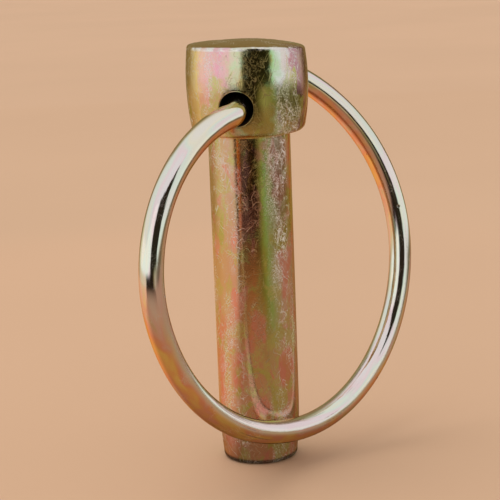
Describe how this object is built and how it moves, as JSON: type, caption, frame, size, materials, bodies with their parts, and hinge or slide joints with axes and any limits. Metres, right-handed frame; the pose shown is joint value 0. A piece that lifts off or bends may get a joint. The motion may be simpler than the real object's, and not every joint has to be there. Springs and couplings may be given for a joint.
{
  "type": "linch pin",
  "caption": "Round headed hitch lock pin with a one-piece sprung wire ring that swings through a slanted hole in the head and snaps closed across the shank.",
  "frame": {"origin": "centre of the flat tip face", "axes": "+Z along the pin from tip to head; the ring's cross hole runs in the Y-Z plane, low mouth at -Y, high mouth at +Y; the closed ring leans on the +X side of the shank"},
  "size_m": [0.0291, 0.0448, 0.0569],
  "materials": {
    "plated_steel": "yellow zinc plating with an iridescent, finely scratched surface",
    "plated_wire": "bright yellow zinc plating on drawn spring wire"
  },
  "bodies": {
    "pin_body": {"pin": "plated_steel"},
    "ring_body": {"snap_ring": "plated_wire"}
  },
  "joints": [
    {"name": "ring_swing", "type": "hinge", "parent": "pin_body", "child": "ring_body", "pos_m": [0, 0, 0.0509], "axis": [0, -0.9681, -0.2504], "range_deg": [0, 336]}
  ]
}
